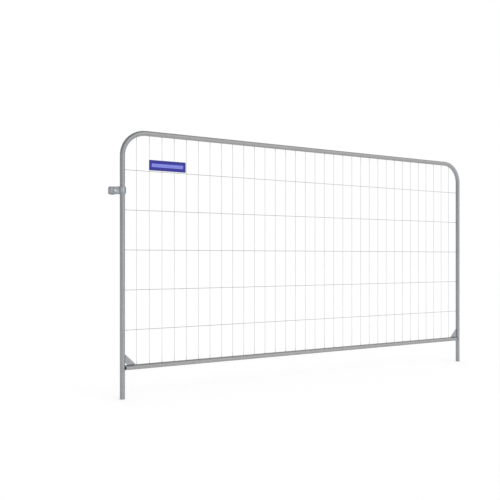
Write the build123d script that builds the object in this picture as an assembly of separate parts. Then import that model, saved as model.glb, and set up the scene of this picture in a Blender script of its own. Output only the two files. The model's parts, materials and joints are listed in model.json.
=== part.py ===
from build123d import *
from math import pi, sqrt
import os

# A temporary fence panel: a bent steel tube, a bottom rail and a welded wire mesh.
# Millimetres. X runs along the panel, the front faces -Y, Z is up.
# The origin is the centre of the left post's foot.

# Tube frame
panel_width = 3472.0        # over the outsides of the posts
panel_height = 2000.0       # from the feet to the top of the top rail
tube_diameter = 38.0
tube_wall = 1.5
bend_radius = 180.0         # of the tube's centreline
rail_height = 230.0         # from the feet to the bottom rail's centreline
drain_radius = 8.0          # half-round notch in the front of each rail end, that lets zinc drain
weld_gap = 0.2              # between pieces that are welded together

# Wire mesh, verticals in front of the horizontals
vertical_diameter = 3.0     # each wire is a square bar with a round wire's area
horizontal_diameter = 4.0
wire_sink = 0.4             # how far crossing wires are pressed into each other
vertical_pitch = 100.0
vertical_start = 106.0      # left post's centreline to the first vertical
vertical_end_least = 100.0  # last vertical to the right post's centreline, at least
horizontal_pitch = 297.5
horizontal_start = 277.5    # bottom rail's centreline to the lowest horizontal
horizontal_end_least = 200.0

# Corner gussets
gusset_leg = 77.0
gusset_thickness = 4.0
gusset_snip = 17.0          # cut off the inner corner, clear of the rail's weld
gusset_tip = 5.0            # width of the blunt tips

# Sign plate, welded to the front of the verticals
plate_width = 295.0
plate_height = 79.0
plate_thickness = 2.0
plate_corner = 4.0
plate_rise = 8.0            # top horizontal to the plate's lower edge
plate_overhang = 3.0        # past the centre of its left wire
plate_left_wire = 1         # counted from 0

# Coupler, two pressed halves with one collar on the left post and one beside it, left free
coupler_drop = 256.5        # from where the post starts to bend down to its middle
coupler_width = 57.0        # along the post
coupler_thickness = 3.0
coupler_spacing = 90.0      # between the two collars' centres
coupler_turn = 45.0         # degrees, from the panel's line towards the back
coupler_gap = 6.0           # between the two halves
coupler_flange = 5.0        # how far the ends reach past the collars
coupler_end_radius = 16.0   # of the halves' corners, seen from the front
coupler_press_radius = 3.0
collar_clearance = 0.1      # radial, on the tubes

# Coupler bolt, with its head at the back and its nut in front
bolt_diameter = 12.0
bolt_head_height = 7.5
bolt_hole_clearance = 0.4   # radial
bolt_stick_out = 20.0       # past the nut
bolt_chamfer = 1.2
thread_clearance = 0.1      # radial, nut on bolt
washer_diameter = 24.0
washer_thickness = 2.5
nut_height = 10.0
across_flats = 19.0         # nut and bolt head
stack_gap = 0.05            # between faces that the bolt presses together

# Worked out from the above
tube_radius = tube_diameter / 2
post_spacing = panel_width - tube_diameter
top_height = panel_height - tube_radius
straight_height = top_height - bend_radius
vertical_side = vertical_diameter * sqrt(pi) / 2
vertical_offset = (vertical_side - wire_sink) / 2
horizontal_side = horizontal_diameter * sqrt(pi) / 2
horizontal_offset = (horizontal_side - wire_sink) / 2
collar_radius = tube_radius + collar_clearance
coupler_height = straight_height - coupler_drop
plate_face = coupler_gap / 2 + coupler_thickness
hole_radius = bolt_diameter / 2 + bolt_hole_clearance
coupler_length = coupler_spacing + 2 * (collar_radius + coupler_thickness + coupler_flange)


def tube_ring(plane):
    """The tube's cross-section on a plane."""
    return plane * (Circle(tube_radius) - Circle(tube_radius - tube_wall))


def frame_tube():
    """Left post, top rail and right post, one tube with two bends."""
    left = extrude(tube_ring(Plane.XY), straight_height)
    right = Pos(post_spacing, 0, 0) * left
    left_bend = revolve(
        tube_ring(Plane.XY.offset(straight_height)),
        Axis((bend_radius, 0, straight_height), (0, 1, 0)),
        90,
    )
    right_bend = revolve(
        tube_ring(Plane((post_spacing, 0, straight_height))),
        Axis((post_spacing - bend_radius, 0, straight_height), (0, -1, 0)),
        90,
    )
    top_start = Plane((bend_radius, 0, top_height), z_dir=(1, 0, 0))
    top = extrude(tube_ring(top_start), post_spacing - 2 * bend_radius)
    return left + left_bend + top + right_bend + right


def bottom_rail():
    """A square-cut tube between the posts, with a notch in the front of both ends."""
    start = tube_radius + weld_gap
    plane = Plane((start, 0, rail_height), z_dir=(1, 0, 0))
    rail = extrude(tube_ring(plane), post_spacing - 2 * start)
    for x in (start, post_spacing - start):
        cutter = Plane((x, 0, rail_height), x_dir=(1, 0, 0), z_dir=(0, -1, 0))
        rail -= extrude(cutter * Circle(drain_radius), tube_diameter)
    return rail


def inside_of_bend(across):
    """How far the bend's inner side lies from its centre, at a distance across."""
    inner_radius = bend_radius - tube_radius
    return sqrt(max(inner_radius**2 - across**2, 0.0))


def underside_at(x):
    """Height of the frame's inner side above a point between the posts."""
    to_post = min(x, post_spacing - x) - vertical_side / 2
    if to_post >= bend_radius:
        return top_height - tube_radius
    return straight_height + inside_of_bend(bend_radius - to_post)


def inner_side_at(z):
    """Distance from a post's centreline to the frame's inner side at a height."""
    over = z + horizontal_side / 2 - straight_height
    if over <= 0:
        return tube_radius
    return bend_radius - inside_of_bend(over)


def spaced(start, end, pitch):
    """Even places from start, as many as fit before end."""
    count = int((end - start) // pitch) + 1
    return [start + pitch * index for index in range(count)]


def vertical_places():
    return spaced(vertical_start, post_spacing - vertical_end_least, vertical_pitch)


def horizontal_places():
    lowest = rail_height + horizontal_start
    return spaced(lowest, top_height - horizontal_end_least, horizontal_pitch)


def wire(plane, side, length):
    return extrude(plane * Rectangle(side, side), length)


def wire_mesh():
    """All the mesh wires, fused where they cross."""
    bottom = rail_height + tube_radius + weld_gap
    wires = []
    for x in vertical_places():
        plane = Plane((x, -vertical_offset, bottom), x_dir=(1, 0, 0), z_dir=(0, 0, 1))
        wires.append(wire(plane, vertical_side, underside_at(x) - weld_gap - bottom))
    for z in horizontal_places():
        start = inner_side_at(z) + weld_gap
        plane = Plane((start, horizontal_offset, z), x_dir=(0, 0, 1), z_dir=(1, 0, 0))
        wires.append(wire(plane, horizontal_side, post_spacing - 2 * start))
    return wires[0].fuse(*wires[1:])


def gusset_left():
    """A flat three-cornered plate between the left post and the bottom rail."""
    side = tube_radius + weld_gap
    base = rail_height + side
    outline = Polygon(
        (side + gusset_snip, base),
        (side + gusset_leg, base),
        (side + gusset_leg, base + gusset_tip),
        (side + gusset_tip, base + gusset_leg),
        (side, base + gusset_leg),
        (side, base + gusset_snip),
        align=None,
    )
    return extrude(Plane.XZ * outline, gusset_thickness / 2, both=True)


def gusset_right():
    middle = Plane((post_spacing / 2, 0, 0), z_dir=(1, 0, 0))
    return mirror(gusset_left(), about=middle)


def sign_plate():
    """A blank plate that lies on the front of the vertical wires."""
    left = vertical_places()[plate_left_wire] - plate_overhang
    bottom = horizontal_places()[-1] + plate_rise
    back = -vertical_offset - vertical_side / 2 - weld_gap
    middle = (left + plate_width / 2, back, bottom + plate_height / 2)
    plane = Plane(middle, x_dir=(1, 0, 0), z_dir=(0, -1, 0))
    return extrude(plane * RectangleRounded(plate_width, plate_height, plate_corner), plate_thickness)


def place_coupler(shape):
    """Turn a coupler piece from its own frame and lift it to its place on the post.

    In its own frame the post is at the origin, the free collar lies along +X
    and the nut's end of the bolt is at +Y.
    """
    return Pos(0, 0, coupler_height) * Rot(0, 0, 180 - coupler_turn) * shape


def coupler_profile():
    """Plan view of one pressed half: two half collars, a web and two end flanges."""
    outer_radius = collar_radius + coupler_thickness
    strip = Rectangle(coupler_length, coupler_thickness, align=(Align.CENTER, Align.MIN))
    profile = Pos(coupler_spacing / 2, coupler_gap / 2) * strip
    for x in (0, coupler_spacing):
        profile += Pos(x, 0) * Circle(outer_radius)
    half = Rectangle(coupler_length, 2 * outer_radius, align=(Align.CENTER, Align.MIN))
    profile = profile & (Pos(coupler_spacing / 2, coupler_gap / 2) * half)
    for x in (0, coupler_spacing):
        profile -= Pos(x, 0) * Circle(collar_radius)
    across = sqrt(outer_radius**2 - plate_face**2)
    bends = [x + side * across for x in (0, coupler_spacing) for side in (-1, 1)]
    corners = [
        vertex for vertex in profile.vertices()
        if abs(vertex.Y - plate_face) < 0.01 and min(abs(vertex.X - x) for x in bends) < 0.01
    ]
    return fillet(corners, coupler_press_radius)


def bolt_plane(distance):
    """A plane across the bolt, at a distance in front of the coupler's middle."""
    return Plane((coupler_spacing / 2, distance, 0), x_dir=(1, 0, 0), z_dir=(0, 1, 0))


def coupler_half():
    """One pressed half at +Y, with round corners on its ends and a hole for the bolt."""
    half = extrude(coupler_profile(), coupler_width / 2, both=True)
    outline = bolt_plane(0) * RectangleRounded(coupler_length, coupler_width, coupler_end_radius)
    half = half & extrude(outline, collar_radius + 2 * coupler_thickness)
    return half - extrude(bolt_plane(0) * Circle(hole_radius), 2 * plate_face)


def coupler_front_half():
    return place_coupler(coupler_half())


def coupler_back_half():
    return place_coupler(mirror(coupler_half(), about=Plane.XZ))


def coupler_washer():
    ring = Circle(washer_diameter / 2) - Circle(hole_radius)
    face = plate_face + stack_gap
    return place_coupler(extrude(bolt_plane(face) * ring, washer_thickness))


def hexagon():
    return RegularPolygon(across_flats / 2, 6, major_radius=False)


def coupler_nut():
    """A hexagon nut with its corners turned down on the outer face."""
    face = plate_face + washer_thickness + 2 * stack_gap
    nut = extrude(bolt_plane(face) * hexagon(), nut_height)
    corner_radius = across_flats / sqrt(3)
    blank = extrude(bolt_plane(face) * Circle(corner_radius), nut_height)
    outer_rim = blank.edges().filter_by(GeomType.CIRCLE).group_by(Axis.Y)[-1]
    blank = chamfer(outer_rim, corner_radius - across_flats / 2)
    bore = extrude(bolt_plane(face) * Circle(bolt_diameter / 2 + thread_clearance), nut_height)
    return place_coupler((nut & blank) - bore)


def coupler_bolt():
    """A hexagon bolt with a plain shank."""
    seat = -plate_face - stack_gap
    tip = plate_face + washer_thickness + nut_height + 2 * stack_gap + bolt_stick_out
    shank = extrude(bolt_plane(seat) * Circle(bolt_diameter / 2), tip - seat)
    shank = chamfer(shank.edges().filter_by(GeomType.CIRCLE).group_by(Axis.Y)[-1], bolt_chamfer)
    head = extrude(bolt_plane(seat) * hexagon(), -bolt_head_height)
    return place_coupler(shank + head)


nodes = {
    "frame_tube": frame_tube,
    "bottom_rail": bottom_rail,
    "wire_mesh": wire_mesh,
    "gusset_left": gusset_left,
    "gusset_right": gusset_right,
    "sign_plate": sign_plate,
    "coupler_front_half": coupler_front_half,
    "coupler_back_half": coupler_back_half,
    "coupler_bolt": coupler_bolt,
    "coupler_washer": coupler_washer,
    "coupler_nut": coupler_nut,
}

os.makedirs("parts", exist_ok=True)
for name, make in nodes.items():
    export_step(make(), "parts/" + name + ".step")
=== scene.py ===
"""Finish, wires and welds of the temporary fence panel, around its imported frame. Metres, +Z up."""

import json
import math
import random

import bmesh
import bpy
from mathutils import Matrix, Vector, noise


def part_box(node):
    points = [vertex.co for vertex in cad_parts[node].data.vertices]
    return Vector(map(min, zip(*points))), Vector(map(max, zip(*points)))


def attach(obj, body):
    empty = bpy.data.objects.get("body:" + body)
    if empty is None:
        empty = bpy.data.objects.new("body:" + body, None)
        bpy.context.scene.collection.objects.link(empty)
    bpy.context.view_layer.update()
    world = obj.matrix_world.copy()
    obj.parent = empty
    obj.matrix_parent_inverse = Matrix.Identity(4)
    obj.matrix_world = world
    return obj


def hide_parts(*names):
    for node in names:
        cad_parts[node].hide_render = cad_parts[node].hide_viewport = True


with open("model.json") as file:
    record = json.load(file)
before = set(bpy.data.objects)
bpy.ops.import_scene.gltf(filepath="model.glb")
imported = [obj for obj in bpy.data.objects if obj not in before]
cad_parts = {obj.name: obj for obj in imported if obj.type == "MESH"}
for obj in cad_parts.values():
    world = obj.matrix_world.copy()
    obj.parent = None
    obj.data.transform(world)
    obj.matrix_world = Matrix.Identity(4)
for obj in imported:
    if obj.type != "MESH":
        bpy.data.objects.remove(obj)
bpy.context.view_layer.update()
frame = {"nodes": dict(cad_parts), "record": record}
dice = random.Random(7)

MM = 0.001

# Wires, with the same spacing as the frame's own mesh
VERTICAL_RADIUS = 1.5 * MM
VERTICAL_DEPTH = -1.13 * MM      # of their centres from the panel's middle plane
VERTICAL_SAG = 0.5 * MM          # how far a wire strays between two crossings
VERTICAL_START = 106 * MM        # from the left post's centreline
VERTICAL_PITCH = 100 * MM
VERTICAL_COUNT = 33
HORIZONTAL_RADIUS = 2.0 * MM
HORIZONTAL_DEPTH = 1.97 * MM
HORIZONTAL_SAG = VERTICAL_SAG * 0.6
HORIZONTAL_START = 277.5 * MM    # from the bottom rail's centreline
HORIZONTAL_PITCH = 297.5 * MM
HORIZONTAL_COUNT = 5
WIRE_SIDES = 12
WIRE_STEPS = 4                   # rings from one crossing to the next
INTO_TUBE = 0.3 * MM             # how far the vertical wires reach into the tube above

# Tube frame and gusset plates
BEND_RADIUS = 180 * MM
GUSSET_LEG = 77 * MM
GUSSET_SNIP = 17 * MM

# Small welds. Vectors are their half axes, and rough is how uneven they are, as a share of those
NUGGET = Vector((2.0, 1.0, 2.0)) * MM
NUGGET_SPREAD = (0.92, 1.08)     # of its size, from the smallest to the largest
NUGGET_DEPTH = 0.3 * MM          # of its centre from the panel's middle plane
NUGGET_ROUGH = 0.3
UPRIGHT_END = Vector((3.0, 3.0, 1.6)) * MM       # at the ends of the vertical wires
LEVEL_END = Vector((1.6, 3.4, 3.4)) * MM         # at the ends of the horizontal wires
END_LIFT = 0.2 * MM              # of an end bead's centre off the tube
END_ROUGH = 0.35
SIGN_SPOT = Vector((1.4, 0.9, 4.5)) * MM
SIGN_SPOT_ASIDE = 1.4 * MM       # of its centre from the wire's
SIGN_SPOT_BEHIND = 0.5 * MM      # of its centre from the plate's back
SIGN_SPOT_INSET = 12 * MM        # from the plate's upper and lower edges
SIGN_SPOT_ROUGH = 0.3

# Long weld beads
RAIL_BEAD_RADIUS = 2.4 * MM
RAIL_BEAD_STEPS = 6              # each way from the rail's highest or lowest line
RAIL_BEAD_STEP = 6.0             # degrees round the rail
GUSSET_BEAD_RADIUS = 2.1 * MM
GUSSET_BEAD_OUT = 0.6 * MM       # of its centre from the plate's face
GUSSET_BEAD_SHORT = 12 * MM      # of the plate's tip
BEAD_SIDES = 10
BEAD_TIP = 0.35                  # of its radius, at both ends
BEAD_TAPER = 1.5                 # radii from the end in which it would gain a whole radius
BEAD_ROUGH = 0.12                # how uneven it is, as a share of its radius
RIPPLE = 1.6 * MM
RIPPLE_DEPTH = 0.14              # as a share of the bead's radius
RIPPLE_STEPS = 4                 # rings in one ripple

# Sign plate
STRIPE_COUNT = 4
STRIPE_WIDTH = 4.4 * MM
STRIPE_PITCH = 6.8 * MM
STRIPE_INSET = 21 * MM           # from the plate's ends
FACE_DEPTH = 0.5 * MM            # from the front face to where the stripes end
END_CHIPS = 3 * MM               # how far in from the plate's ends its enamel is chipped
EDGE_CHIPS = 2 * MM              # and from its upper and lower edges
DEEP_BLUE = (0.008, 0.01, 0.31, 1)
PLATE_BLUE = (0.018, 0.02, 0.44, 1)
BAND_BLUE = (0.02, 0.025, 1.0, 1)
STRIPE_BLUE = (0.42, 0.46, 1.0, 1)

# Coupler bolt
THREAD_PITCH = 1.75 * MM
THREAD_DEPTH = 0.9 * MM
THREAD_RISE = 1.15               # of a flank, as a share of the depth, cut off flat at the crest
THREAD_ROOT = 0.05               # how far below the root a flank starts, in the same share
THREAD_LEVELS = 10               # rings in one turn
THREAD_SIDES = 40
BOLT_RADIUS = 6 * MM
BOLT_CHAMFER = 1.2 * MM
HEAD_HEIGHT = 7.5 * MM
ACROSS_FLATS = 19 * MM
HEAD_SIDES = 96
HEAD_FACE_SHARE = 0.95           # of the width across flats, for the round face of the head
HEAD_CHAMFER_SLOPE = 0.577       # rise of the head's chamfer for each unit outwards
HEAD_CHAMFER_SHARE = 0.25        # of the head's height, which holds the chamfer
HEAD_CHAMFER_LEVELS = 8

# Marks and painted shade on the zinc. A share of 1 is the darkest
# Scorched zinc and painted shade along the rail under each gusset
SCORCH_AND_SHADE_UNDER_GUSSET = 0.33
SCORCH_AND_SHADE_UNDER_GUSSET_REACH = (6 * MM, 13 * MM)    # to where it begins to fade and has gone
SCORCH_AND_SHADE_SHORT = 18 * MM           # of the gusset's tip
# Painted shade in the gap at the rail's ends, on the rail and the post beside it
RAIL_END_SHADE = 0.85
RAIL_END_SHADE_REACH = (3 * MM, 10 * MM)
RAIL_END_SHADE_LENGTH = 4 * MM
RAIL_END_SHADE_RISE = 2 * MM    # above the rail's centreline
SCRAPE_SHARE = 0.35
SCRAPE_HEIGHT = 120 * MM
# Painted shade on the left post's upper end
UPPER_POST_SHADE_SHARE = 0.08
UPPER_POST_SHADE_START = 700 * MM       # height at which it begins
# Painted shade along the coupler's upper and lower edges
EDGE_SHADE_SHARE = 0.35
EDGE_SHADE_REACH = (0.4, 0.8)     # of the coupler's half height, to where it begins and is full
# Painted shade on the coupler's collars
COLLAR_SHADE_SHARE = 0.4
COLLAR_SHADE_REACH = (19 * MM, 28 * MM)           # from the bolt, to where it begins and is full

# Light
SKY_LOW = 0.82                   # strength at the horizon
SKY_HIGH = 0.42                  # strength overhead
BACKDROP_TONE = 0.84             # of the backdrop in reflections
CEILING_TONE = 0.21              # of the dark ceiling in reflections
CEILING_FULL = 0.95              # cosine of the angle from its middle, above which it is darkest
CEILING_EDGE = 0.3               # and below which it has turned into the backdrop
CEILING_WAY = (-0.447, 0.0, 0.894)               # to its middle, above the left end
FLOOR_TONE = 0.9
FLOOR_GLOW = 0.46                # added for the camera and reflections, to make it white there
FLOOR_SIZE = 40.0
KEY_TURN = (70, 0, 30)           # degrees
KEY_STRENGTH = 0.5
KEY_ANGLE = 60                   # degrees across, which is very soft

# Camera, as the photograph was taken
CAMERA_PLACE = (-1.191, -4.296, 1.045)
CAMERA_TURN = 27.71              # degrees to the right of straight at the panel
CAMERA_LENS = 42.44              # mm on the sensor's width
CAMERA_SENSOR = 36.0
CAMERA_SHIFT_UP = 0.01548        # as a share of the sensor's width
CAMERA_REACH = 200.0

# Places read from the frame
tube_low, tube_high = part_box("frame_tube")
rail_low, rail_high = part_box("bottom_rail")
mesh_low, mesh_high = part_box("wire_mesh")
coupler_low, coupler_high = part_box("coupler_front_half")
TUBE_RADIUS = (tube_high.y - tube_low.y) / 2
POST_SPACING = tube_high.x - TUBE_RADIUS
TOP_AXIS = tube_high.z - TUBE_RADIUS
RAIL_AXIS = (rail_low.z + rail_high.z) / 2
RAIL_TOP = rail_high.z
RAIL_END = rail_low.x
MOUNTS = {mount["name"]: mount for mount in frame["record"]["mounts"]}
FREE_COLLAR = Vector(MOUNTS["free_collar"]["pos_m"])


# Node materials

class Graph:
    """Shader nodes of a material or world, added one call at a time."""

    def __init__(self, owner, output_kind="ShaderNodeOutputMaterial"):
        owner.use_nodes = True
        self.owner = owner
        self.tree = owner.node_tree
        self.tree.nodes.clear()
        self.output = self.tree.nodes.new(output_kind)
        self.where = self.node("ShaderNodeTexCoord").outputs["Object"]

    def node(self, kind, inputs=None, **settings):
        made = self.tree.nodes.new(kind)
        for key, value in settings.items():
            setattr(made, key, value)
        for key, value in (inputs or {}).items():
            self.put(made.inputs[key], value)
        return made

    def put(self, socket, value):
        if isinstance(value, bpy.types.NodeSocket):
            self.tree.links.new(value, socket)
        else:
            socket.default_value = value

    def axes(self):
        split = self.node("ShaderNodeSeparateXYZ", {"Vector": self.where})
        return split.outputs["X"], split.outputs["Y"], split.outputs["Z"]

    def stretched(self, scale):
        made = self.node("ShaderNodeMapping", {"Vector": self.where, "Scale": scale})
        return made.outputs["Vector"]

    def noise(self, scale, detail=3.0, vector=None):
        inputs = {"Vector": vector or self.where, "Scale": scale, "Detail": detail, "Roughness": 0.55}
        return self.node("ShaderNodeTexNoise", inputs).outputs["Fac"]

    def cells(self, scale):
        """A random value for each grain of the zinc."""
        made = self.node("ShaderNodeTexVoronoi", {"Vector": self.where, "Scale": scale})
        split = self.node("ShaderNodeSeparateColor", {"Color": made.outputs["Color"]})
        return split.outputs["Red"]

    def math(self, operation, a, b=0.0):
        return self.node("ShaderNodeMath", {0: a, 1: b}, operation=operation).outputs[0]

    def mixed(self, *parts):
        """Sum of values, each given with its share."""
        total = 0.0
        for value, share in parts:
            total = self.math("ADD", total, self.math("MULTIPLY", value, share))
        return total

    def off(self, value, centre):
        """Distance of a value from a centre."""
        return self.math("ABSOLUTE", self.math("SUBTRACT", value, centre))

    def window(self, value, low, high, low_out=0.0, high_out=1.0):
        """Value between low and high, turned into low_out to high_out."""
        inputs = {"Value": value, "From Min": low, "From Max": high}
        inputs.update({"To Min": low_out, "To Max": high_out})
        return self.node("ShaderNodeMapRange", inputs).outputs["Result"]

    def patchy(self, value, scale):
        """Value, a little weaker in patches."""
        return self.math("MULTIPLY", value, self.window(self.noise(scale), 0.3, 0.6, 0.7, 1.0))

    def blend(self, factor, first, second):
        made = self.node("ShaderNodeMix", data_type="RGBA")
        for index, value in ((0, factor), (6, first), (7, second)):
            self.put(made.inputs[index], value)
        return made.outputs[2]

    def bump(self, height, strength, distance, rounded=None):
        inputs = {"Height": height, "Strength": strength, "Distance": distance}
        if rounded:
            inputs["Normal"] = rounded
        return self.node("ShaderNodeBump", inputs).outputs["Normal"]

    def rounded(self, radius):
        """Normal of a surface whose edges are rounded off, and 1 along those edges."""
        soft = self.node("ShaderNodeBevel", {"Radius": radius}, samples=6).outputs["Normal"]
        sharp = self.node("ShaderNodeNewGeometry").outputs["Normal"]
        made = self.node("ShaderNodeVectorMath", {0: soft, 1: sharp}, operation="DOT_PRODUCT")
        return soft, self.window(made.outputs["Value"], 0.86, 0.98, 1.0, 0.0)

    def near_line(self, along, low, high, across, place, full, none):
        """1 within full of a straight line from low to high, and 0 past none."""
        beyond = self.math("SUBTRACT", self.off(along, (low + high) / 2), (high - low) / 2)
        beyond = self.math("MAXIMUM", beyond, 0.0)
        aside = self.math("SUBTRACT", across, place)
        squares = self.math("ADD", self.math("MULTIPLY", beyond, beyond),
                            self.math("MULTIPLY", aside, aside))
        return self.window(self.math("SQRT", squares), full, none, 1.0, 0.0)

    def finish(self, shader):
        self.tree.links.new(shader.outputs[0], self.output.inputs["Surface"])
        return self.owner

    def surface(self, **inputs):
        names = {key.replace("_", " ").title(): value for key, value in inputs.items()}
        return self.finish(self.node("ShaderNodeBsdfPrincipled", names))


def new_graph(name):
    return Graph(bpy.data.materials.new(name))


def grey(value, cool=0.0):
    return (value * (1 - cool), value, value * (1 + cool), 1.0)


def from_posts(graph):
    """Distance inwards from the nearer post's centreline."""
    x, _, _ = graph.axes()
    return graph.math("SUBTRACT", POST_SPACING / 2, graph.off(x, POST_SPACING / 2))


def posts(graph):
    """1 on both posts, and 0 past their bends."""
    return graph.window(from_posts(graph), TUBE_RADIUS, BEND_RADIUS, 1.0, 0.0)


def painted_shade_upper_post(graph):
    """Painted shade towards the upper end of the left post."""
    x, _, z = graph.axes()
    left = graph.window(x, TUBE_RADIUS, BEND_RADIUS, 1.0, 0.0)
    high = graph.window(z, UPPER_POST_SHADE_START, TOP_AXIS - BEND_RADIUS, 0.0, UPPER_POST_SHADE_SHARE)
    return graph.math("MULTIPLY", left, high)


def weld_scorch_and_shade(graph):
    """Scorched zinc and painted shade under the gussets, and painted shade in the gap at the rail's
    ends, at both lower corners.
    """
    _, _, z = graph.axes()
    inwards = from_posts(graph)
    start = RAIL_END + GUSSET_SNIP
    stop = RAIL_END + GUSSET_LEG - SCORCH_AND_SHADE_SHORT
    # scorch and painted shade along the rail under the gusset
    under_gusset = graph.near_line(inwards, start, stop, z, RAIL_TOP, *SCORCH_AND_SHADE_UNDER_GUSSET_REACH)
    # painted shade where the gap at the rail's end is shaded
    rail_end = graph.near_line(inwards, RAIL_END - RAIL_END_SHADE_LENGTH, RAIL_END,
                               z, RAIL_AXIS + RAIL_END_SHADE_RISE, *RAIL_END_SHADE_REACH)
    under_gusset = graph.math("MULTIPLY", under_gusset, SCORCH_AND_SHADE_UNDER_GUSSET)
    rail_end = graph.math("MULTIPLY", rail_end, RAIL_END_SHADE)
    return graph.patchy(graph.math("MAXIMUM", under_gusset, rail_end), 260.0)


def foot_wear(graph):
    """Scrapes on the posts where they go in and out of their blocks."""
    _, _, z = graph.axes()
    low_down = graph.window(z, 0.0, SCRAPE_HEIGHT, SCRAPE_SHARE, 0.0)
    scrapes = graph.noise(240.0, vector=graph.stretched((1.0, 1.0, 0.04)))
    return graph.math("MULTIPLY", low_down, graph.window(scrapes, 0.5, 0.72))


def painted_shade_coupler_edges(graph):
    """Painted shade towards the upper and lower edges of the coupler's halves."""
    _, _, z = graph.axes()
    middle = (coupler_low.z + coupler_high.z) / 2
    reach = (coupler_high.z - coupler_low.z) / 2
    begin, full = EDGE_SHADE_REACH
    edge = graph.window(graph.off(z, middle), reach * begin, reach * full, 0.0, EDGE_SHADE_SHARE)
    return graph.patchy(edge, 120.0)


def painted_shade_collars(graph):
    """Painted shade on the coupler's collars, which leaves its web lighter."""
    x, y, _ = graph.axes()
    bolt_x = FREE_COLLAR.x / 2
    web = graph.near_line(x, bolt_x, bolt_x, y, FREE_COLLAR.y / 2, *COLLAR_SHADE_REACH)
    collars = graph.math("MULTIPLY", graph.math("SUBTRACT", 1.0, web), COLLAR_SHADE_SHARE)
    return graph.patchy(collars, 90.0)


def zinc(name, dark, light, grain, metallic=0.85, rough=(0.42, 0.6), cool=0.028, post_cool=None,
         marks_and_painted_shade=(), edge=None):
    """Galvanised steel: grains of zinc, a cloudy bloom over them, faint runs and rubbed edges.

    Cool is its blue tint and post_cool that of the posts, marks_and_painted_shade darken it in places
    with scorch, scrapes and painted shade, and edge is the radius of its edges.
    """
    graph = new_graph(name)
    grains = graph.cells(1 / grain)
    cloud = graph.noise(7.0, 4.0)
    runs = graph.noise(60.0, vector=graph.stretched((1.0, 1.0, 0.06)))
    speck = graph.noise(700.0, 2.0)
    tone = graph.mixed((grains, 0.35), (cloud, 0.4), (runs, 0.25))
    colour = graph.blend(tone, grey(dark, cool), grey(light, cool))
    if post_cool:
        bluer = graph.blend(tone, grey(dark, post_cool), grey(light, post_cool))
        colour = graph.blend(posts(graph), colour, bluer)
    colour = graph.blend(graph.window(speck, 0.62, 0.8, 0.0, 0.35), colour, grey(dark * 0.6, cool))
    # each darkens the zinc: scorch and scrapes, and painted shade
    for mark in marks_and_painted_shade:
        colour = graph.blend(mark(graph), colour, grey(dark * 0.3, cool))
    soft = None
    if edge:
        soft, rubbed = graph.rounded(edge)
        worn = graph.window(graph.noise(180.0), 0.4, 0.6, 0.1, 0.6)
        rubbed = graph.math("MULTIPLY", rubbed, worn)
        colour = graph.blend(rubbed, colour, grey(min(0.9, light * 1.35), cool))
    roughness = graph.window(graph.mixed((grains, 0.5), (cloud, 0.5)), 0.0, 1.0, *rough)
    height = graph.mixed((grains, 0.25), (graph.noise(450.0), 1.0))
    normal = graph.bump(height, 0.25, 0.15 * MM, soft)
    return graph.surface(base_color=colour, metallic=metallic, roughness=roughness, normal=normal)


def weld_metal(name, dark, light):
    """Weld beads under zinc, darker and rougher than the steel beside them."""
    graph = new_graph(name)
    mottle = graph.noise(220.0, 4.0)
    colour = graph.blend(graph.window(mottle, 0.35, 0.7), grey(dark, 0.03), grey(light, 0.03))
    roughness = graph.window(mottle, 0.0, 1.0, 0.4, 0.75)
    normal = graph.bump(graph.noise(900.0), 0.5, 0.2 * MM)
    return graph.surface(base_color=colour, metallic=0.6, roughness=roughness, normal=normal)


def enamel(name, plate_low, plate_high):
    """Blue enamel with chips towards its edges, and on its front pale stripes on a brighter band."""
    graph = new_graph(name)
    x, y, z = graph.axes()
    middle = (plate_low + plate_high) / 2
    half = (plate_high - plate_low) / 2
    across = graph.off(x, middle.x)
    up = graph.off(z, middle.z)
    lowest = middle.z - STRIPE_PITCH * STRIPE_COUNT / 2
    wave = graph.math("FLOORED_MODULO", graph.math("SUBTRACT", z, lowest), STRIPE_PITCH)
    stripe = graph.math("LESS_THAN", graph.off(wave, STRIPE_PITCH / 2), STRIPE_WIDTH / 2)
    band = graph.math("LESS_THAN", up, STRIPE_PITCH * STRIPE_COUNT / 2)
    band = graph.math("MULTIPLY", band, graph.math("LESS_THAN", across, half.x - STRIPE_INSET))
    band = graph.math("MULTIPLY", band, graph.math("LESS_THAN", y, plate_low.y + FACE_DEPTH))
    worn = graph.noise(45.0, 5.0)
    colour = graph.blend(worn, DEEP_BLUE, PLATE_BLUE)
    colour = graph.blend(band, colour, BAND_BLUE)
    colour = graph.blend(graph.math("MULTIPLY", stripe, band), colour, STRIPE_BLUE)
    edge = graph.math("MAXIMUM", graph.window(across, half.x - END_CHIPS, half.x),
                      graph.window(up, half.z - EDGE_CHIPS, half.z))
    chips = graph.math("GREATER_THAN", graph.noise(260.0, 4.0), 0.66)
    colour = graph.blend(graph.math("MULTIPLY", edge, chips), colour, grey(0.32))
    roughness = graph.window(worn, 0.0, 1.0, 0.28, 0.46)
    soft, _ = graph.rounded(0.5 * MM)
    normal = graph.bump(graph.noise(160.0, 2.0), 0.12, 0.2 * MM, soft)
    return graph.surface(base_color=colour, metallic=0.0, roughness=roughness, normal=normal)


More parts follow.
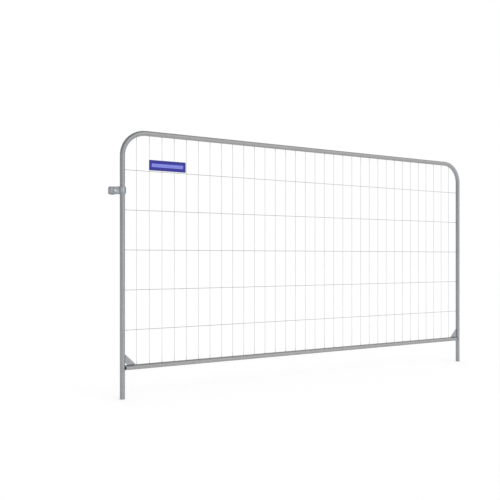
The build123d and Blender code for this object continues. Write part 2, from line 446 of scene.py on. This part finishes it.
MATERIALS = {
    "frame_zinc": zinc("frame_zinc", 0.31, 0.516, 9 * MM, cool=0.0, post_cool=0.052,
                       marks_and_painted_shade=(weld_scorch_and_shade, foot_wear, painted_shade_upper_post), edge=0.5 * MM),
    "wire_zinc": zinc("wire_zinc", 0.5, 0.72, 4 * MM, rough=(0.4, 0.55), cool=0.01),
    # the same zinc as wire_zinc, painted darker: painted shade on the horizontal wires
    "thick_wire_zinc": zinc("thick_wire_zinc", 0.385, 0.565, 4 * MM, rough=(0.4, 0.55), cool=0.01),
    "plate_zinc": zinc("plate_zinc", 0.323, 0.526, 12 * MM, edge=0.6 * MM),
    "coupler_zinc": zinc("coupler_zinc", 0.53, 0.79, 3 * MM, metallic=0.9, rough=(0.42, 0.56),
                         cool=0.055, marks_and_painted_shade=(painted_shade_coupler_edges, painted_shade_collars), edge=0.9 * MM),
    "bolt_zinc": zinc("bolt_zinc", 0.65, 0.9, 2 * MM, metallic=0.95, rough=(0.22, 0.36),
                      cool=0.03, edge=0.25 * MM),
    "weld": weld_metal("weld", 0.155, 0.3),
    "wire_weld": weld_metal("wire_weld", 0.34, 0.54),
    "sign_paint": enamel("sign_paint", *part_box("sign_plate")),
}

for part in frame["record"]["subparts"]:
    for slot in frame["nodes"][part["node"]].material_slots:
        slot.material = MATERIALS[part["material_slot"]]


# Mesh pieces

def piece(name, bm, material):
    """A smooth mesh that rides on the fence, with its finish."""
    mesh = bpy.data.meshes.new(name)
    bmesh.ops.recalc_face_normals(bm, faces=bm.faces)
    bm.to_mesh(mesh)
    bm.free()
    mesh.materials.append(MATERIALS[material])
    for polygon in mesh.polygons:
        polygon.use_smooth = True
    made = bpy.data.objects.new(name, mesh)
    bpy.context.scene.collection.objects.link(made)
    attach(made, "root")
    return made


def skin(bm, rings):
    """Faces between rings of vertices, with both ends capped."""
    for first, second in zip(rings, rings[1:]):
        count = len(first)
        for index in range(count):
            following = (index + 1) % count
            bm.faces.new((first[index], first[following], second[following], second[index]))
    bm.faces.new(rings[0])
    bm.faces.new(reversed(rings[-1]))


def ring(bm, centre, side, up, sides):
    """Vertices of an ellipse about centre, with half axes side and up."""
    made = []
    for index in range(sides):
        angle = 2 * math.pi * index / sides
        made.append(bm.verts.new(centre + side * math.cos(angle) + up * math.sin(angle)))
    return made


def vertical_places():
    return [VERTICAL_START + VERTICAL_PITCH * index for index in range(VERTICAL_COUNT)]


def horizontal_places():
    lowest = RAIL_AXIS + HORIZONTAL_START
    return [lowest + HORIZONTAL_PITCH * index for index in range(HORIZONTAL_COUNT)]


def underside_at(x):
    """Height of the frame's inner side above x, at the middle of a wire."""
    to_post = min(x, POST_SPACING - x)
    if to_post >= BEND_RADIUS:
        return TOP_AXIS - TUBE_RADIUS
    inner = BEND_RADIUS - TUBE_RADIUS
    return TOP_AXIS - BEND_RADIUS + math.sqrt(inner**2 - (BEND_RADIUS - to_post) ** 2)


def wire(bm, radius, start, end, crossings, sway):
    """A round wire that strays a little along sway between its crossings."""
    along = (end - start).normalized()
    length = (end - start).length
    side = sway.normalized()
    up = along.cross(side)
    stops = [0.0] + sorted((spot - start).dot(along) for spot in crossings) + [length]
    rings = []
    for low, high in zip(stops, stops[1:]):
        lean = dice.uniform(-1, 1)
        for step in range(WIRE_STEPS):
            share = step / WIRE_STEPS
            place = start + along * (low + (high - low) * share)
            place += sway * (lean * math.sin(math.pi * share))
            rings.append(ring(bm, place, side * radius, up * radius, WIRE_SIDES))
    rings.append(ring(bm, end, side * radius, up * radius, WIRE_SIDES))
    skin(bm, rings)


def make_verticals():
    bm = bmesh.new()
    for x in vertical_places():
        foot = Vector((x, VERTICAL_DEPTH, mesh_low.z))
        head = Vector((x, VERTICAL_DEPTH, underside_at(x) + INTO_TUBE))
        crossings = [Vector((x, VERTICAL_DEPTH, z)) for z in horizontal_places()]
        wire(bm, VERTICAL_RADIUS, foot, head, crossings, Vector((VERTICAL_SAG, 0, 0)))
    return piece("vertical_wires", bm, "wire_zinc")


def make_horizontals():
    bm = bmesh.new()
    for z in horizontal_places():
        left = Vector((mesh_low.x, HORIZONTAL_DEPTH, z))
        right = Vector((mesh_high.x, HORIZONTAL_DEPTH, z))
        crossings = [Vector((x, HORIZONTAL_DEPTH, z)) for x in vertical_places()]
        wire(bm, HORIZONTAL_RADIUS, left, right, crossings, Vector((0, 0, HORIZONTAL_SAG)))
    # the darker wire zinc is painted shade
    return piece("horizontal_wires", bm, "thick_wire_zinc")


def lump(bm, centre, size, rough):
    """A small uneven blob of weld metal."""
    made = bmesh.ops.create_icosphere(bm, subdivisions=2, radius=1.0)
    seed = Vector((dice.uniform(0, 50), dice.uniform(0, 50), dice.uniform(0, 50)))
    for vertex in made["verts"]:
        swell = 1 + rough * noise.noise(vertex.co * 1.7 + seed)
        vertex.co = centre + Vector(a * b for a, b in zip(vertex.co * swell, size))


def make_crossing_welds():
    """The nugget that squeezes out where two wires are welded."""
    bm = bmesh.new()
    for x in vertical_places():
        for z in horizontal_places():
            size = NUGGET * dice.uniform(*NUGGET_SPREAD)
            lump(bm, Vector((x, NUGGET_DEPTH, z)), size, NUGGET_ROUGH)
    piece("crossing_welds", bm, "wire_zinc")


def make_wire_end_welds():
    """A small bead round each wire's end, where it meets the tube."""
    bm = bmesh.new()
    for x in vertical_places():
        lump(bm, Vector((x, VERTICAL_DEPTH, mesh_low.z + END_LIFT)), UPRIGHT_END, END_ROUGH)
        lump(bm, Vector((x, VERTICAL_DEPTH, underside_at(x) - END_LIFT)), UPRIGHT_END, END_ROUGH)
    for z in horizontal_places():
        lump(bm, Vector((mesh_low.x + END_LIFT, HORIZONTAL_DEPTH, z)), LEVEL_END, END_ROUGH)
        lump(bm, Vector((mesh_high.x - END_LIFT, HORIZONTAL_DEPTH, z)), LEVEL_END, END_ROUGH)
    piece("wire_end_welds", bm, "wire_weld")


def bead(bm, path, radius):
    """A weld bead along a path, with the ripples that a welder's hand leaves."""
    length = sum((b - a).length for a, b in zip(path, path[1:]))
    steps = max(8, int(length / (RIPPLE / RIPPLE_STEPS)))
    rings = []
    travelled = 0.0
    spot = 0
    for step in range(steps + 1):
        distance = length * step / steps
        while spot < len(path) - 2 and distance > travelled + (path[spot + 1] - path[spot]).length:
            travelled += (path[spot + 1] - path[spot]).length
            spot += 1
        along = (path[spot + 1] - path[spot]).normalized()
        centre = path[spot] + along * (distance - travelled)
        side = along.orthogonal().normalized()
        up = along.cross(side)
        end = min(distance, length - distance)
        taper = min(1.0, BEAD_TIP + end / (BEAD_TAPER * radius))
        wave = 1 + RIPPLE_DEPTH * (abs(math.sin(math.pi * distance / RIPPLE)) - 0.5)
        wave *= 1 + BEAD_ROUGH * noise.noise(centre * 160)
        size = radius * taper * wave
        rings.append(ring(bm, centre, side * size, up * size, BEAD_SIDES))
    skin(bm, rings)


def rail_end_path(post_x, facing, way):
    """Along the arc where the rail's end rests on the post.

    Facing is 1 at the left end and -1 at the right. Way is 1 on top of the rail and -1 below.
    """
    points = []
    for step in range(-RAIL_BEAD_STEPS, RAIL_BEAD_STEPS + 1):
        angle = math.radians(step * RAIL_BEAD_STEP)
        y = TUBE_RADIUS * math.sin(angle)
        z = RAIL_AXIS + way * TUBE_RADIUS * math.cos(angle)
        post_skin = math.sqrt(TUBE_RADIUS**2 - y**2)
        points.append(Vector((post_x + facing * (post_skin + RAIL_END) / 2, y, z)))
    return points


def make_frame_welds(name, post_x, facing, gusset):
    """Beads of one lower corner: the rail on the post, and the gusset on both."""
    bm = bmesh.new()
    low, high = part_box(gusset)
    bead(bm, rail_end_path(post_x, facing, 1), RAIL_BEAD_RADIUS)
    bead(bm, rail_end_path(post_x, facing, -1), RAIL_BEAD_RADIUS)
    inner = low.x if facing > 0 else high.x
    outer = high.x if facing > 0 else low.x
    for face_y in (low.y, high.y):
        y = face_y + math.copysign(GUSSET_BEAD_OUT, face_y)
        upright = [Vector((inner, y, low.z + GUSSET_SNIP)), Vector((inner, y, high.z))]
        flat = [
            Vector((inner + facing * GUSSET_SNIP, y, low.z)),
            Vector((outer - facing * GUSSET_BEAD_SHORT, y, low.z)),
        ]
        bead(bm, upright, GUSSET_BEAD_RADIUS)
        bead(bm, flat, GUSSET_BEAD_RADIUS)
    piece(name, bm, "weld")


def make_sign_welds():
    """Spots that hold the sign plate on the wires behind it."""
    bm = bmesh.new()
    low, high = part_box("sign_plate")
    for x in vertical_places():
        if not low.x < x < high.x:
            continue
        for z in (low.z + SIGN_SPOT_INSET, high.z - SIGN_SPOT_INSET):
            for side in (-1, 1):
                place = Vector((x + side * SIGN_SPOT_ASIDE, high.y + SIGN_SPOT_BEHIND, z))
                lump(bm, place, SIGN_SPOT, SIGN_SPOT_ROUGH)
    piece("sign_welds", bm, "wire_weld")


def coupler_matrix():
    """From the bolt's own frame, with the coupler's free collar along +X and its nut at +Y."""
    turn = math.atan2(FREE_COLLAR.y, FREE_COLLAR.x)
    middle = Vector((FREE_COLLAR.x / 2, FREE_COLLAR.y / 2, FREE_COLLAR.z))
    return Matrix.Translation(middle) @ Matrix.Rotation(turn, 4, "Z")


def round_bar(bm, levels, radius_at, sides):
    """A bar along Y with its radius given at each level and angle."""
    rings = []
    for y in levels:
        made = []
        for index in range(sides):
            angle = 2 * math.pi * index / sides
            radius = radius_at(y, angle)
            made.append(bm.verts.new((radius * math.cos(angle), y, radius * math.sin(angle))))
        rings.append(made)
    skin(bm, rings)


def make_bolt():
    """The coupler's bolt with a cut thread and a chamfered head, in place of the plain one."""
    to_world = coupler_matrix()
    to_own = to_world.inverted()
    places = [(to_own @ vertex.co).y for vertex in frame["nodes"]["coupler_bolt"].data.vertices]
    crown = min(places)
    tip = max(places)
    seat = crown + HEAD_HEIGHT

    def thread_radius(y, angle):
        phase = (y / THREAD_PITCH + angle / (2 * math.pi)) % 1.0
        flank = THREAD_RISE * (1 - abs(2 * phase - 1)) - THREAD_ROOT
        radius = BOLT_RADIUS - THREAD_DEPTH * (1 - min(1.0, max(0.0, flank)))
        return min(radius, BOLT_RADIUS - BOLT_CHAMFER + (tip - y))

    def head_radius(y, angle):
        from_flat = (angle + math.pi / 6) % (math.pi / 3) - math.pi / 6
        flat = ACROSS_FLATS / 2 / math.cos(from_flat)
        turned = ACROSS_FLATS / 2 * HEAD_FACE_SHARE + (y - crown) / HEAD_CHAMFER_SLOPE
        return min(flat, turned)

    bm = bmesh.new()
    count = int((tip - seat) / THREAD_PITCH * THREAD_LEVELS)
    levels = [seat + (tip - seat) * step / count for step in range(count + 1)]
    round_bar(bm, levels, thread_radius, THREAD_SIDES)
    chamfer = HEAD_HEIGHT * HEAD_CHAMFER_SHARE
    levels = [crown + chamfer * step / HEAD_CHAMFER_LEVELS for step in range(HEAD_CHAMFER_LEVELS + 1)]
    round_bar(bm, levels + [seat], head_radius, HEAD_SIDES)
    bmesh.ops.transform(bm, matrix=to_world, verts=bm.verts)
    made = piece("threaded_bolt", bm, "bolt_zinc")
    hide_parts("coupler_bolt")


wires = [make_verticals(), make_horizontals()]
for made in wires:
    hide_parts("wire_mesh")
make_crossing_welds()
make_wire_end_welds()
make_frame_welds("left_corner_welds", 0.0, 1, "gusset_left")
make_frame_welds("right_corner_welds", POST_SPACING, -1, "gusset_right")
make_sign_welds()
make_bolt()


# Floor, light and camera

def make_floor():
    """A pale floor that is white to the camera and in reflections where nothing shades it."""
    bm = bmesh.new()
    bmesh.ops.create_grid(bm, x_segments=1, y_segments=1, size=FLOOR_SIZE)
    mesh = bpy.data.meshes.new("floor")
    bm.to_mesh(mesh)
    bm.free()
    floor = bpy.data.objects.new("floor", mesh)
    bpy.context.scene.collection.objects.link(floor)
    graph = new_graph("floor")
    rays = graph.node("ShaderNodeLightPath")
    seen = graph.math("MAXIMUM", rays.outputs["Is Camera Ray"], rays.outputs["Is Glossy Ray"])
    strength = graph.math("MULTIPLY", seen, FLOOR_GLOW)
    diffuse = graph.node("ShaderNodeBsdfDiffuse", {"Color": grey(FLOOR_TONE)})
    glow = graph.node("ShaderNodeEmission", {"Color": grey(1.0), "Strength": strength})
    both = graph.node("ShaderNodeAddShader", {0: diffuse.outputs[0], 1: glow.outputs[0]})
    mesh.materials.append(graph.finish(both))


def make_world():
    """Plain light, stronger from the sides than from above, and a backdrop white to the camera.

    Reflections show it a little duller, with a dark ceiling above the panel's left end.
    """
    world = bpy.data.worlds.new("studio")
    bpy.context.scene.world = world
    graph = Graph(world, "ShaderNodeOutputWorld")
    _, _, height = graph.axes()
    light = graph.window(height, 0.0, 1.0, SKY_LOW, SKY_HIGH)
    to_ceiling = graph.node("ShaderNodeVectorMath", {0: graph.where, 1: CEILING_WAY},
                            operation="DOT_PRODUCT").outputs["Value"]
    backdrop = graph.window(to_ceiling, CEILING_EDGE, CEILING_FULL, BACKDROP_TONE, CEILING_TONE)
    rays = graph.node("ShaderNodeLightPath")
    mirrored = graph.math("MAXIMUM", rays.outputs["Is Glossy Ray"], rays.outputs["Is Transmission Ray"])
    strength = graph.mixed((light, graph.math("SUBTRACT", 1.0, mirrored)), (backdrop, mirrored))
    strength = graph.math("MAXIMUM", strength, rays.outputs["Is Camera Ray"])
    graph.finish(graph.node("ShaderNodeBackground", {"Color": grey(1.0), "Strength": strength}))


def make_lamp():
    data = bpy.data.lights.new("key", "SUN")
    data.energy = KEY_STRENGTH
    data.angle = math.radians(KEY_ANGLE)
    lamp = bpy.data.objects.new("key", data)
    lamp.rotation_euler = [math.radians(value) for value in KEY_TURN]
    bpy.context.scene.collection.objects.link(lamp)


def make_camera():
    data = bpy.data.cameras.new("camera")
    data.lens = CAMERA_LENS
    data.sensor_width = CAMERA_SENSOR
    data.shift_y = CAMERA_SHIFT_UP
    data.clip_end = CAMERA_REACH
    camera = bpy.data.objects.new("camera", data)
    camera.location = CAMERA_PLACE
    camera.rotation_euler = (math.radians(90), 0, -math.radians(CAMERA_TURN))
    bpy.context.scene.collection.objects.link(camera)
    bpy.context.scene.camera = camera


make_floor()
make_world()
make_lamp()
make_camera()
bpy.context.scene.view_settings.view_transform = "Standard"
